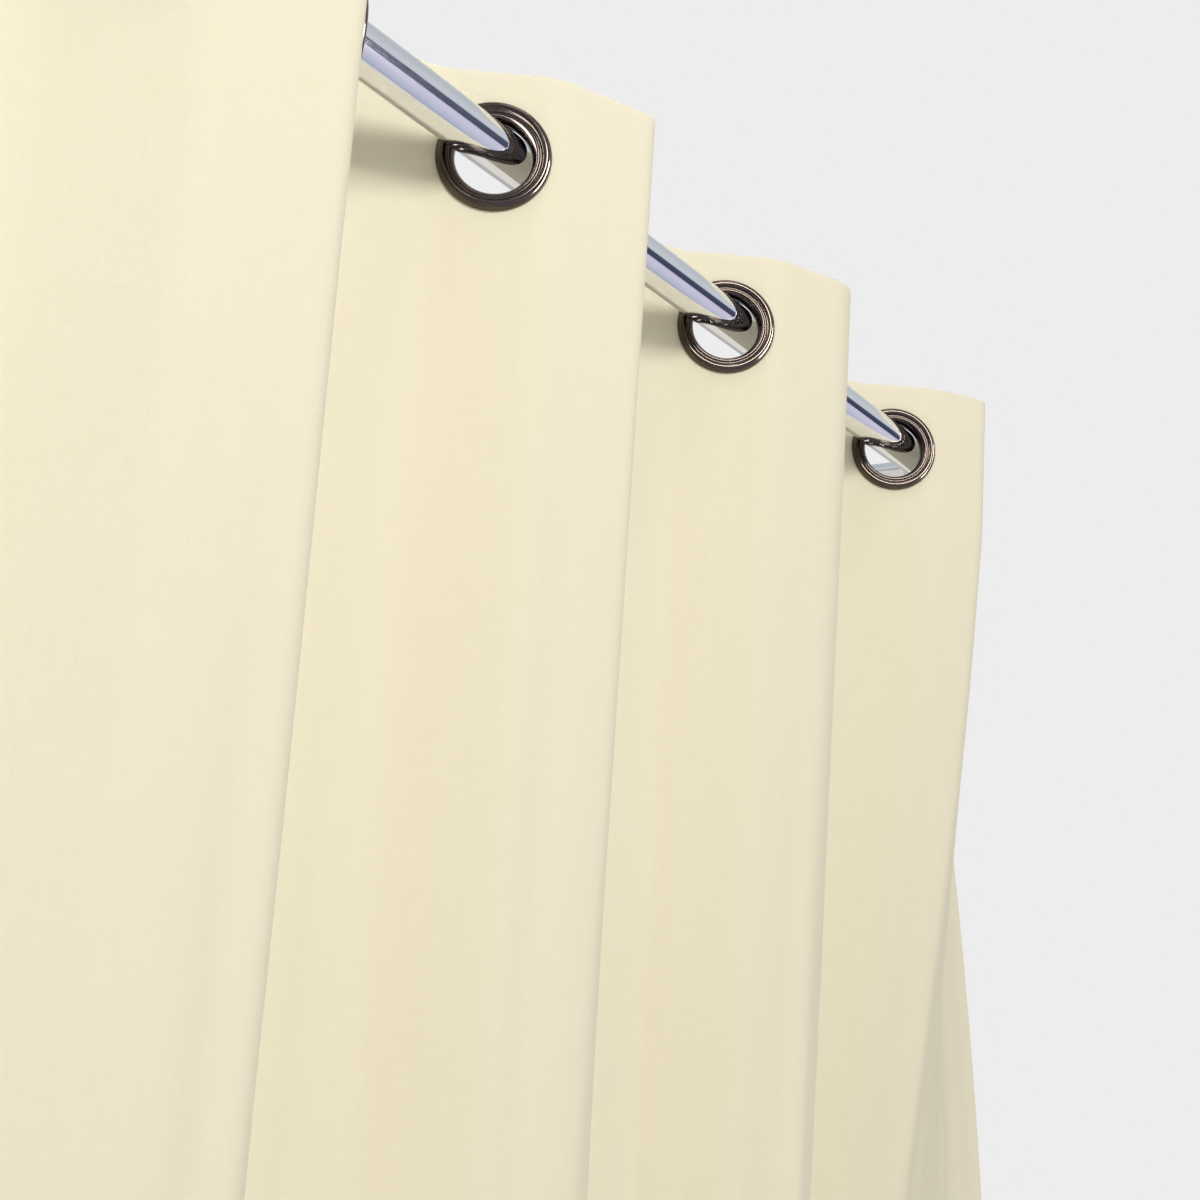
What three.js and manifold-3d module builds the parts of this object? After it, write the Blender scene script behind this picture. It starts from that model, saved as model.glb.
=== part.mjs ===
// Eyelet curtain on a round rod: one cloth panel on eight two-part eyelet rings, a tube rod
// with push-in end caps, and two wall brackets with open cradles. Millimetres, +Z up.
// The wall is the plane Y = 0 and the room is on its -Y side. The origin is the middle of the
// right bracket's back face, level with the rod's axis, and the rod runs along X.
import * as THREE from "three";
import { mergeVertices } from "three/addons/utils/BufferGeometryUtils.js";
import Module from "manifold-3d";

// Clearances
const gap = 0.3; // between pieces that touch
const rodFit = 0.3; // rod in cradle and in eyelet, on the radius

// Rod
const rodRadius = 12.5;
const rodWall = 1.2;
const rodProjection = 100; // wall to rod axis
const bracketSpan = 1200; // between the two bracket arms
const leftOverhang = 60; // rod past the left arm

// Eyelet rings
const ringCount = 8;
const ringPitch = 125; // along the rod, as hung
const lastPitch = 105; // the two rings either side of the right arm
const lastRingX = 44; // the ring parked outside the right arm
const ringRadius = 30;
const eyeletRadius = 20;
const barrelWall = 1.5;
const flangeRise = 4.4; // front half's crown above the cloth
const lipRadius = 22.2; // hole's mouth at the flange's crown
const ringBackThickness = 2.4;
const ringBackInset = 0.6; // back half is this much smaller in radius

// Cloth panel
const clothThickness = 1;
const headRise = 48; // top edge above the ring centres
const panelLength = 2130;
const clampFlat = 31; // flat cloth either side of a ring's centre
const foldAngle = 0.953; // cloth at a ring, from the rod's direction, in radians
const sideAllowance = 90; // ring 1 or 8 to the side edge, along the cloth
const bandDepth = 100; // stiff heading band at the back of the top edge
const hemDepth = 100; // turned-up bottom hem
const hemInset = 4; // hem facing stops above the bottom edge

// How the two end folds settle below the stiff band, where nothing holds them
const settleLength = 480; // height over which they settle
const crestCreep = { left: 0, right: 26 }; // the last front crest creeps back along the cloth
const crestEase = { left: 0.3, right: 0.8 }; // share of the fold angle lost behind that crest
const swingBack = 55; // the right end fold hangs back towards the wall, far below
const edgeCreep = 14; // the side edge's curl starts sooner
const edgeTurn = 0.25; // and turns further, in radians

// Wall brackets
const discRadius = 26;
const discThickness = 3;
const wallScrewPitch = 36;
const wallScrewRadius = 2;
const wallScrewHead = 4;
const wallScrewHeadHeight = 2.2;
const wallScrewLength = 35;
const armRadius = 6;
const cradleWidth = 14;
const cradleWall = 2.8;
const cradleRise = 8; // cradle's sides above the rod axis
const bossRadius = 5;
const bossLength = 3;
const lockScrewRadius = 2;
const lockKnobRadius = 5.5;
const lockKnobLength = 7;
const rosetteRadius = 30;
const rosetteDepth = 16;
const rosetteWall = 1.5;
const collarRadius = 10;
const collarLength = 6;
const grubRadius = 1.5;

// End caps
const capRadius = 14;
const capFlange = 2;
const capCrown = 1.5;
const spigotLength = 18;
const capStandoff = 23; // last ring's centre to the rod's right end

// Roundness of the solids
const ringSegments = 24;
const turnedSegments = 24;
const crestSteps = 4; // per half crest
const settledRows = 8;

// Layers at a ring, as offsets from the middle of the main cloth towards its face side.
const clothHalf = clothThickness / 2;
const bandFront = -clothHalf - gap;
const bandBack = bandFront - clothThickness;
const flangeBase = clothHalf + gap;
const barrelEnd = bandBack - gap - ringBackThickness;

// The rings stand askew on the rod, so each is centred a little off its axis, and it hangs
// where the rod first meets the barrel's rims or the flange's lip.
const ringAside = ((barrelEnd + flangeBase) / 2) * Math.cos(foldAngle);
const throat = [
  [eyeletRadius, barrelEnd],
  [eyeletRadius, flangeBase],
  [lipRadius, flangeBase + flangeRise * 0.6],
];
const ringDrop = Math.min(...throat.flatMap(([radius, offset]) =>
  Array.from({ length: 181 }, (_, degree) => {
    const turn = (degree * Math.PI) / 180;
    const side = (rodRadius + rodFit) * Math.cos(turn) - ringAside + offset * Math.cos(foldAngle);
    const width = radius * Math.sin(foldAngle);
    const headroom = radius * Math.sqrt(Math.max(0, 1 - (side / width) ** 2));
    return headroom - (rodRadius + rodFit) * Math.sin(turn);
  })));
const ringY = -rodProjection + ringAside;
const topZ = headRise - ringDrop;
const bottomZ = topZ - panelLength;
const bandBottomZ = topZ - bandDepth;
const barrelRadius = eyeletRadius + barrelWall;
const rodRightX = lastRingX + capStandoff;
const rodLeftX = -bracketSpan - leftOverhang;

const finish = {
  chrome: { color: 0xc9ced6, roughness: 0.12, metalness: 1 },
  gunmetal: { color: 0x4a403b, roughness: 0.28, metalness: 1 },
  zinc: { color: 0xb9bcc0, roughness: 0.35, metalness: 1 },
  cloth: { color: 0xf0e6cb, roughness: 0.9, metalness: 0 },
  band: { color: 0xe9dfc6, roughness: 0.95, metalness: 0 },
};

const wasm = await Module();
wasm.setup();

const curtain = new THREE.Group();

function place(name, geometry, look) {
  const mesh = new THREE.Mesh(geometry, new THREE.MeshStandardMaterial(finish[look]));
  mesh.name = name;
  curtain.add(mesh);
}

// A closed geometry as a manifold solid, with its shared corners merged.
function toSolid(geometry) {
  const bare = geometry.clone();
  bare.deleteAttribute("normal");
  bare.deleteAttribute("uv");
  const merged = mergeVertices(bare, 1e-4);
  return new wasm.Manifold(new wasm.Mesh({
    numProp: 3,
    vertProperties: new Float32Array(merged.attributes.position.array),
    triVerts: new Uint32Array(merged.index.array),
  }));
}

function fromSolid(solid) {
  const mesh = solid.getMesh();
  const geometry = new THREE.BufferGeometry();
  geometry.setAttribute("position", new THREE.BufferAttribute(mesh.vertProperties, 3));
  geometry.setIndex(new THREE.BufferAttribute(mesh.triVerts, 1));
  geometry.computeVertexNormals();
  return geometry;
}

// A solid turned about an axis through `origin` along `axis`. The outline is [radius, height]
// points along that axis, and it closes on itself or ends on the axis.
function turned(outline, origin, axis, segments = turnedSegments) {
  const points = outline.map(([radius, height]) => new THREE.Vector2(radius, height));
  const geometry = new THREE.LatheGeometry(points, segments);
  const turn = new THREE.Quaternion().setFromUnitVectors(new THREE.Vector3(0, 1, 0), axis);
  geometry.applyQuaternion(turn);
  geometry.translate(origin.x, origin.y, origin.z);
  return geometry;
}

function pin(radius, from, to) {
  const axis = new THREE.Vector3().subVectors(to, from);
  const length = axis.length();
  return turned([[0, 0], [radius, 0], [radius, length], [0, length]], from, axis.normalize());
}

const point = (x, y, z) => new THREE.Vector3(x, y, z);
const alongX = point(1, 0, 0);
const toRoom = point(0, -1, 0);

// ---- Cloth folds, seen from above ----

// Between two rings the cloth runs straight past each clamped ring and turns through one
// circular crest. The crest's radius follows from the ring spacing.
function crestRadius(pitch) {
  return (pitch - 2 * clampFlat * Math.cos(foldAngle)) / (2 * Math.sin(foldAngle));
}

function halfRun(pitch) {
  return clampFlat + crestRadius(pitch) * foldAngle;
}

function ringX(k) {
  return k === ringCount ? lastRingX : lastRingX - lastPitch - ringPitch * (ringCount - 1 - k);
}

// Spacing of the fold after ring k.
function pitchAfter(k) {
  return k === ringCount - 1 ? lastPitch : ringPitch;
}

// Odd rings carry cloth that comes from the wall side to the room side as X grows.
function ringSide(k) {
  return k % 2 === 1 ? -1 : 1;
}

// An end fold, `along` millimetres of cloth outwards from its inner ring: how far out and
// towards the wall it is, and its heading. It runs to the room, turns back through one crest,
// passes its outer ring and curls out at the side edge.
function endFold(pitch, creep, ease, along, share) {
  const radius = crestRadius(pitch);
  const ring = 2 * halfRun(pitch);
  const edge = foldAngle - (sideAllowance - clampFlat) / crestRadius(ringPitch);
  const eased = foldAngle * (1 - ease * share);
  const knots = [
    [0, -foldAngle],
    [clampFlat - creep * share, -foldAngle],
    [clampFlat - creep * share + 2 * radius * foldAngle, eased],
    [ring + clampFlat - edgeCreep * share, eased],
    [ring + sideAllowance, edge - edgeTurn * share],
  ];
  const headingAt = (length) => {
    const next = Math.max(1, knots.findIndex(([end]) => end >= length));
    const [[from, first], [to, second]] = [knots[next - 1], knots[next]];
    return first + ((second - first) * (length - from)) / (to - from);
  };
  const steps = Math.max(1, Math.round(along));
  const step = along / steps;
  let out = 0;
  let back = 0;
  for (let i = 0; i < steps; i += 1) {
    out += Math.cos(headingAt((i + 0.5) * step)) * step;
    back += Math.sin(headingAt((i + 0.5) * step)) * step;
  }
  return { out, back, heading: headingAt(along) };
}

// A fold between two inner rings, closed form: `run` millimetres of cloth from ring k.
function innerFold(k, run) {
  const radius = crestRadius(ringPitch);
  const along = Math.abs(run);
  const straight = Math.min(along, clampFlat);
  const heading = foldAngle - (along - straight) / radius;
  const dx = straight * Math.cos(foldAngle) + radius * (Math.sin(foldAngle) - Math.sin(heading));
  const dy = straight * Math.sin(foldAngle) + radius * (Math.cos(heading) - Math.cos(foldAngle));
  const sign = Math.sign(run);
  return {
    x: ringX(k) + sign * dx,
    y: ringY + sign * ringSide(k) * dy,
    heading: ringSide(k) * heading,
  };
}

function smoothStep(from, to, value) {
  const t = Math.min(1, Math.max(0, (value - from) / (to - from)));
  return t * t * (3 - 2 * t);
}

// How far the right end fold has swung towards the wall: most from ring 7 to the bracket, and
// none at the crest before that ring or out at the side edge.
function swing(x, share) {
  const inner = ringX(ringCount - 1);
  const rise = smoothStep(inner - ringPitch / 2, inner + 20, x);
  return swingBack * share ** 3 * rise * (1 - smoothStep(0, lastRingX + sideAllowance, x));
}

// Where the cloth is, `run` millimetres of cloth from ring k towards +X, at height z.
function foldPoint(k, run, z) {
  const share = Math.tanh(Math.max(0, bandBottomZ - z) / settleLength);
  const last = ringCount - 1;
  const onRight = k > last || (k === last && run > 0);
  const onLeft = k < 2 || (k === 2 && run < 0);
  if (!onRight && !onLeft) {
    const { x, y, heading } = innerFold(k, run);
    return { x, y: y + swing(x, share), heading };
  }
  const outward = onRight ? 1 : -1;
  const inner = onRight ? last : 2;
  const pitch = onRight ? lastPitch : ringPitch;
  const along = outward * run + (k === inner ? 0 : 2 * halfRun(pitch));
  const side = onRight ? "right" : "left";
  const { out, back, heading } = endFold(pitch, crestCreep[side], crestEase[side], along, share);
  const x = ringX(inner) + outward * out;
  return { x, y: ringY + back + swing(x, share), heading: outward * heading };
}

// Lengths of cloth at which station k's piece has a column of corners.
function columnRuns(k) {
  const before = k === 1 ? sideAllowance : halfRun(pitchAfter(k - 1)) - gap / 2;
  const after = k === ringCount ? sideAllowance : halfRun(pitchAfter(k)) - gap / 2;
  const side = (length) => {
    const steps = Math.ceil(((length - clampFlat) * crestSteps) / (halfRun(ringPitch) - clampFlat));
    return Array.from({ length: steps + 1 }, (_, i) => clampFlat + ((length - clampFlat) * i) / steps);
  };
  return [...side(before).reverse().map((run) => -run), ...side(after)];
}

// Heights of its rows of corners: only the end stations change shape below the band.
function rowHeights(k, lower, upper) {
  const changes = k <= 2 || k >= ringCount - 1;
  const top = Math.min(upper, bandBottomZ);
  if (!changes || top <= lower) return [lower, upper];
  const rows = Math.ceil((settledRows * (top - lower)) / panelLength);
  const heights = Array.from({ length: rows + 1 }, (_, i) => lower + ((top - lower) * i) / rows);
  return top < upper ? [...heights, upper] : heights;
}

// One layer of station k's cloth, between two offsets from the middle of the main cloth.
// Positive offsets lie on the face side, which looks into the room on a crest.
function clothLayer(k, low, high, lower, upper) {
  const runs = columnRuns(k);
  const heights = rowHeights(k, lower, upper);
  const rowCount = heights.length - 1;
  const columns = runs.length;
  const corners = [];
  for (const offset of [low, high]) {
    for (const z of heights) {
      for (const run of runs) {
        const at = foldPoint(k, run, z);
        const [outX, outY] = [Math.sin(at.heading), -Math.cos(at.heading)];
        corners.push(at.x + outX * offset, at.y + outY * offset, z);
      }
    }
  }
  const layerSize = columns * (rowCount + 1);
  const id = (layer, row, column) => layer * layerSize + row * columns + column;
  const faces = [];
  const quad = (a, b, c, d) => faces.push(a, b, c, a, c, d);
  for (let row = 0; row < rowCount; row += 1) {
    for (let column = 0; column < columns - 1; column += 1) {
      const [c, r] = [column + 1, row + 1];
      quad(id(1, row, column), id(1, row, c), id(1, r, c), id(1, r, column));
      quad(id(0, row, column), id(0, r, column), id(0, r, c), id(0, row, c));
    }
    const end = columns - 1;
    quad(id(0, row, 0), id(1, row, 0), id(1, row + 1, 0), id(0, row + 1, 0));
    quad(id(1, row, end), id(0, row, end), id(0, row + 1, end), id(1, row + 1, end));
  }
  for (let column = 0; column < columns - 1; column += 1) {
    const c = column + 1;
    quad(id(0, 0, column), id(0, 0, c), id(1, 0, c), id(1, 0, column));
    quad(id(1, rowCount, column), id(1, rowCount, c), id(0, rowCount, c), id(0, rowCount, column));
  }
  const geometry = new THREE.BufferGeometry();
  geometry.setAttribute("position", new THREE.Float32BufferAttribute(corners, 3));
  geometry.setIndex(faces);
  return geometry;
}

// ---- One station of the curtain: a ring and the cloth from crest to crest ----

function addStation(k) {
  const heading = ringSide(k) * foldAngle;
  const face = point(Math.sin(heading), -Math.cos(heading), 0);
  const centre = point(ringX(k), ringY, -ringDrop);
  const reach = ringRadius;
  const hole = toSolid(pin(
    barrelRadius + gap,
    centre.clone().addScaledVector(face, -reach),
    centre.clone().addScaledVector(face, reach),
  ));
  const cut = (layer) => fromSolid(toSolid(layer).subtract(hole));

  place(`cloth_${k}`, cut(clothLayer(k, -clothHalf, clothHalf, bottomZ, topZ)), "cloth");
  place(`heading_band_${k}`, cut(clothLayer(k, bandBack, bandFront, bandBottomZ, topZ)), "band");
  const hemBottom = bottomZ + hemInset;
  place(`bottom_hem_${k}`, clothLayer(k, bandBack, bandFront, hemBottom, bottomZ + hemDepth), "cloth");

  // Front half: a crowned flange with the barrel that lines the hole.
  const middle = (ringRadius + eyeletRadius) / 2;
  place(`ring_front_${k}`, turned([
    [eyeletRadius, barrelEnd],
    [barrelRadius, barrelEnd],
    [barrelRadius, flangeBase],
    [ringRadius, flangeBase],
    [ringRadius - 1.5, flangeBase + flangeRise * 0.7],
    [middle + 1, flangeBase + flangeRise],
    [lipRadius, flangeBase + flangeRise * 0.6],
    [eyeletRadius, flangeBase],
    [eyeletRadius, barrelEnd],
  ], centre, face, ringSegments), "gunmetal");

  // Back half: a washer that snaps over the barrel.
  const backTop = bandBack - gap;
  const backInner = barrelRadius + gap;
  const backOuter = ringRadius - ringBackInset;
  place(`ring_back_${k}`, turned([
    [backInner, backTop - ringBackThickness],
    [backOuter - 1, backTop - ringBackThickness],
    [backOuter, backTop],
    [backInner, backTop],
    [backInner, backTop - ringBackThickness],
  ], centre, face, ringSegments), "gunmetal");
}

// ---- Rod and end caps ----

function addRod() {
  const bore = rodRadius - rodWall;
  const length = rodRightX - rodLeftX;
  const axisStart = point(rodLeftX, -rodProjection, 0);
  place("rod", turned([
    [bore, 0], [rodRadius, 0], [rodRadius, length], [bore, length], [bore, 0],
  ], axisStart, alongX, 32), "chrome");

  const ends = [["right", rodRightX, alongX], ["left", rodLeftX, point(-1, 0, 0)]];
  for (const [side, x, outward] of ends) {
    place(`end_cap_${side}`, turned([
      [0, -spigotLength],
      [bore - gap, -spigotLength],
      [bore - gap, gap],
      [capRadius, gap],
      [capRadius, gap + capFlange],
      [capRadius - 2, gap + capFlange + capCrown * 0.7],
      [0, gap + capFlange + capCrown],
    ], point(x, -rodProjection, 0), outward), "chrome");
  }
}

// ---- One wall bracket ----

// The cradle's outline across the rod: an open-topped U, in (Y from the rod axis, Z).
function cradleOutline() {
  const inner = rodRadius + rodFit;
  const outer = inner + cradleWall;
  const shape = new THREE.Shape();
  shape.moveTo(-outer, cradleRise);
  shape.lineTo(-outer, 0);
  shape.absarc(0, 0, outer, Math.PI, 2 * Math.PI, false);
  shape.lineTo(outer, cradleRise);
  shape.lineTo(inner, cradleRise);
  shape.lineTo(inner, 0);
  shape.absarc(0, 0, inner, 2 * Math.PI, Math.PI, true);
  shape.lineTo(-inner, cradleRise);
  shape.closePath();
  return shape;
}

function addBracket(side, x) {
  const at = (y, z = 0) => point(x, y, z);
  const wallScrewHeights = [["upper", wallScrewPitch / 2], ["lower", -wallScrewPitch / 2]];

  let disc = toSolid(pin(discRadius, at(0), at(-discThickness)));
  for (const [, z] of wallScrewHeights) {
    disc = disc.subtract(toSolid(pin(wallScrewRadius + gap, at(1, z), at(-discThickness - 1, z))));
  }
  place(`wall_disc_${side}`, fromSolid(disc), "zinc");

  const headBase = discThickness + gap;
  for (const [level, z] of wallScrewHeights) {
    const shank = wallScrewLength;
    place(`wall_screw_${side}_${level}`, turned([
      [0, headBase - shank],
      [wallScrewRadius, headBase - shank + 4],
      [wallScrewRadius, headBase],
      [wallScrewHead, headBase],
      [wallScrewHead * 0.7, headBase + wallScrewHeadHeight],
      [0, headBase + wallScrewHeadHeight],
    ], at(0, z), toRoom, 12), "zinc");
  }

  // Arm, cradle and the boss that the lock screw runs in are one casting.
  const inner = rodRadius + rodFit;
  const outer = inner + cradleWall;
  const cradle = new THREE.ExtrudeGeometry(cradleOutline(), {
    depth: cradleWidth, bevelEnabled: false, curveSegments: 12,
  });
  cradle.translate(0, 0, -cradleWidth / 2);
  cradle.applyMatrix4(new THREE.Matrix4().makeBasis(point(0, 1, 0), point(0, 0, 1), alongX));
  cradle.translate(x, -rodProjection, 0);
  const armEnd = -rodProjection + inner + cradleWall / 2;
  const bossEnd = -rodProjection - outer - bossLength;
  const lockHole = pin(lockScrewRadius + gap, at(bossEnd - 1), at(-rodProjection));
  const arm = toSolid(cradle)
    .add(toSolid(pin(armRadius, at(-discThickness - gap), at(armEnd))))
    .add(toSolid(pin(bossRadius, at(-rodProjection - outer + cradleWall / 2), at(bossEnd))))
    .subtract(toSolid(lockHole));
  place(`bracket_arm_${side}`, fromSolid(arm), "chrome");

  const knobBase = bossEnd - gap;
  place(`lock_screw_${side}`, turned([
    [0, rodRadius + gap],
    [lockScrewRadius, rodRadius + gap],
    [lockScrewRadius, -knobBase - rodProjection],
    [lockKnobRadius, -knobBase - rodProjection],
    [lockKnobRadius, -knobBase - rodProjection + lockKnobLength],
    [0, -knobBase - rodProjection + lockKnobLength],
  ], at(-rodProjection), toRoom, 16), "chrome");

  // Rosette: a cup that hides the disc and slides along the arm on its collar.
  const sleeve = armRadius + gap;
  const shoulder = 5;
  const rosette = toSolid(turned([
    [rosetteRadius - rosetteWall, gap],
    [rosetteRadius, gap],
    [rosetteRadius, rosetteDepth - shoulder],
    [rosetteRadius - shoulder, rosetteDepth],
    [collarRadius, rosetteDepth],
    [collarRadius, rosetteDepth + collarLength],
    [sleeve, rosetteDepth + collarLength],
    [sleeve, rosetteDepth - rosetteWall],
    [rosetteRadius - shoulder, rosetteDepth - rosetteWall],
    [rosetteRadius - rosetteWall, rosetteDepth - shoulder],
    [rosetteRadius - rosetteWall, gap],
  ], at(0), toRoom));
  const grubY = -rosetteDepth - collarLength / 2;
  const grubHole = toSolid(pin(grubRadius + gap, at(grubY, -armRadius), at(grubY, -collarRadius - 1)));
  place(`rosette_${side}`, fromSolid(rosette.subtract(grubHole)), "chrome");
  place(`grub_screw_${side}`, pin(
    grubRadius, at(grubY, -armRadius - gap), at(grubY, -collarRadius - 0.5),
  ), "zinc");
}

addBracket("right", 0);
addBracket("left", -bracketSpan);
addRod();
for (let k = 1; k <= ringCount; k += 1) addStation(k);

export default curtain;
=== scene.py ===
import math

import bpy
import numpy as np
from mathutils import Matrix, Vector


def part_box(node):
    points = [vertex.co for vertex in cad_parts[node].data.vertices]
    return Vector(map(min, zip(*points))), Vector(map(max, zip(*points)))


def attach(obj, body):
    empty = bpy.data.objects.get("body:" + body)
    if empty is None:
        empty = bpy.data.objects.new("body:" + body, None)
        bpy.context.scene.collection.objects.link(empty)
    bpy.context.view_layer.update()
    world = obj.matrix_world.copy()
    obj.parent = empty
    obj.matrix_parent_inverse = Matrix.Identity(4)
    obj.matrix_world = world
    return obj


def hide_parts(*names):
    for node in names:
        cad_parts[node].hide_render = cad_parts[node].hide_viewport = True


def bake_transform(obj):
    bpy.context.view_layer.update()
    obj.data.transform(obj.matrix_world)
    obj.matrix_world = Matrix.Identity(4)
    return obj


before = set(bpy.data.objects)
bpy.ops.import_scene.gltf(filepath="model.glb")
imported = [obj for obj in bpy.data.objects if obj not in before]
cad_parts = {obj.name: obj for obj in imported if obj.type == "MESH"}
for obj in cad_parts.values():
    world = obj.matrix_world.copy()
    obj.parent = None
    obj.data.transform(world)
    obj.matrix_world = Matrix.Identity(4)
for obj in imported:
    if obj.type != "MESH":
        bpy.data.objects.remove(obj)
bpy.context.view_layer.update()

# An eyelet curtain on a tube rod. Shapes are worked out in millimetres and go into metres
# when the mesh is made. The wall is the plane Y = 0 and the room is on its -Y side.


def linearColour(hexCode):
    # sRGB hex to linear: below the knee a straight line, above it a 2.4 power.
    channels = np.array([int(hexCode[i:i + 2], 16) / 255 for i in (0, 2, 4)])
    curved = ((channels + 0.055) / 1.055) ** 2.4
    return (*(float(c) for c in np.where(channels <= 0.04045, channels / 12.92, curved)), 1.0)


def addNode(tree, kind, settings=None, values=None, links=None):
    # One node. Settings are its properties, values its unlinked inputs, links what feeds it.
    node = tree.nodes.new("ShaderNode" + kind)
    for key, value in (settings or {}).items():
        setattr(node, key, value)
    for key, value in (values or {}).items():
        node.inputs[key].default_value = value
    for key, (source, output) in (links or {}).items():
        tree.links.new(source.outputs[output], node.inputs[key])
    return node


def newMaterial(name, shader, values):
    material = bpy.data.materials.new(name)
    material.use_nodes = True
    tree = material.node_tree
    tree.nodes.clear()
    surface = addNode(tree, shader, values=values)
    addNode(tree, "OutputMaterial", links={"Surface": (surface, 0)})
    return material, tree, surface


def smoothStep(t):
    t = np.clip(t, 0, 1)
    return t * t * (3 - 2 * t)


def makePiece(name, points, faceGroups, material, uvs=None, sharp=40):
    # A mesh object from points in mm and arrays of quads or triangles, smooth but for edges
    # that turn by more than `sharp` degrees.
    mesh = bpy.data.meshes.new(name)
    groups = [np.asarray(g, np.int32) for g in faceGroups if len(g)]
    corners = np.concatenate([g.ravel() for g in groups])
    sizes = np.concatenate([np.full(len(g), g.shape[1], np.int32) for g in groups])
    mesh.vertices.add(len(points))
    mesh.vertices.foreach_set("co", (np.asarray(points, float) / 1000).astype(np.float32).ravel())
    mesh.loops.add(len(corners))
    mesh.loops.foreach_set("vertex_index", corners)
    mesh.polygons.add(len(sizes))
    mesh.polygons.foreach_set("loop_start", np.concatenate([[0], np.cumsum(sizes)[:-1]]).astype(np.int32))
    mesh.update(calc_edges=True)
    if uvs is not None:
        layer = mesh.uv_layers.new(name="clothRun")
        layer.data.foreach_set("uv", np.asarray(uvs, np.float32)[corners].ravel())
    mesh.materials.append(material)
    mesh.shade_smooth()
    mesh.set_sharp_from_angle(angle=math.radians(sharp))
    piece = bpy.data.objects.new(name, mesh)
    bpy.context.scene.collection.objects.link(piece)
    return piece


def gridFaces(index):
    # Quads over a 2-D array of vertex numbers. Where a side has shrunk to one point at a pole
    # the quad is a triangle.
    a, b = index[:-1, :-1].ravel(), index[:-1, 1:].ravel()
    c, d = index[1:, 1:].ravel(), index[1:, :-1].ravel()
    first, last = a == b, c == d
    whole = ~(first | last)
    quads = np.stack([a, b, c, d], 1)[whole]
    fans = np.concatenate([np.stack([a, c, d], 1)[first & ~last], np.stack([a, b, c], 1)[last & ~first]])
    return [quads, fans]


def roundedOutline(corners, steps=5):
    # [radius, height, fillet] corners joined by straight lines, each with a round of that
    # fillet: a quadratic arc between the two points a fillet away from the corner.
    corners = np.array(corners, float)
    spots = corners[:, :2]
    line = [spots[:1]]
    t = np.linspace(0, 1, steps + 1)[:, None]
    for i in range(1, len(spots) - 1):
        fillet = corners[i, 2]
        if fillet <= 0:
            line.append(spots[i:i + 1])
            continue
        before, after = spots[i - 1] - spots[i], spots[i + 1] - spots[i]
        start = spots[i] + before / np.linalg.norm(before) * fillet
        end = spots[i] + after / np.linalg.norm(after) * fillet
        line.append((1 - t) ** 2 * start + 2 * t * (1 - t) * spots[i] + t ** 2 * end)
    return np.concatenate([*line, spots[-1:]])


def turnedShape(outline, origin, axis, segments=96, ripple=None):
    # An outline carried round an axis: point = origin + axis * height + radius * (cos a, sin a)
    # across the axis. It closes on itself, or ends on the axis at both ends. ripple changes the
    # radius with angle and height.
    outline = np.asarray(outline, float)
    axis = np.asarray(axis, float)
    side = np.cross(axis, [0, 0, 1] if abs(axis[2]) < 0.9 else [1, 0, 0])
    side /= np.linalg.norm(side)
    other = np.cross(axis, side)
    angle = np.arange(segments) / segments * 2 * math.pi
    radius = np.repeat(outline[:, :1], segments, 1)
    height = np.repeat(outline[:, 1:], segments, 1)
    if ripple:
        radius = np.maximum(radius + ripple(angle[None, :], height, radius), 0) * (radius > 0)
    points = (np.asarray(origin, float) + axis * height[..., None]
              + side * (radius * np.cos(angle))[..., None] + other * (radius * np.sin(angle))[..., None])
    looped = np.allclose(outline[0], outline[-1])
    index = np.arange(points.shape[0] * segments).reshape(-1, segments)
    if looped:
        index[-1] = index[0]
    index[outline[:, 0] == 0] = index[outline[:, 0] == 0, :1]
    used, renumbered = np.unique(index, return_inverse=True)
    index = renumbered.reshape(index.shape)
    index = np.concatenate([index, index[:, :1]], 1)
    return points.reshape(-1, 3)[used], gridFaces(index)


def turnedPiece(name, outline, origin, axis, material, segments=96, ripple=None, sharp=40):
    points, faces = turnedShape(outline, origin, axis, segments, ripple)
    return makePiece(name, points, faces, material, sharp=sharp)


def combine(piece, tool, how):
    # Adds a tool shape to a piece or cuts it away, and removes the tool.
    join = piece.modifiers.new("join", "BOOLEAN")
    join.object, join.operation, join.solver = tool, how, "EXACT"
    applyModifiers(piece)
    bpy.data.objects.remove(tool)
    return piece


def applyModifiers(piece):
    shown = piece.evaluated_get(bpy.context.evaluated_depsgraph_get())
    mesh = bpy.data.meshes.new_from_object(shown)
    piece.modifiers.clear()
    piece.data = mesh


def settle(piece, body, slot, *nodes):
    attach(piece, body)
    if nodes:
        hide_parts(*nodes)
    return piece


clothFinish = {
    "colour": "ebe6d2", "shade": "e6dec6", "thread": 0.9, "slubLength": 14,
    "roughness": 0.92, "sheen": 0.18, "bump": 0.00007,
}


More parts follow.
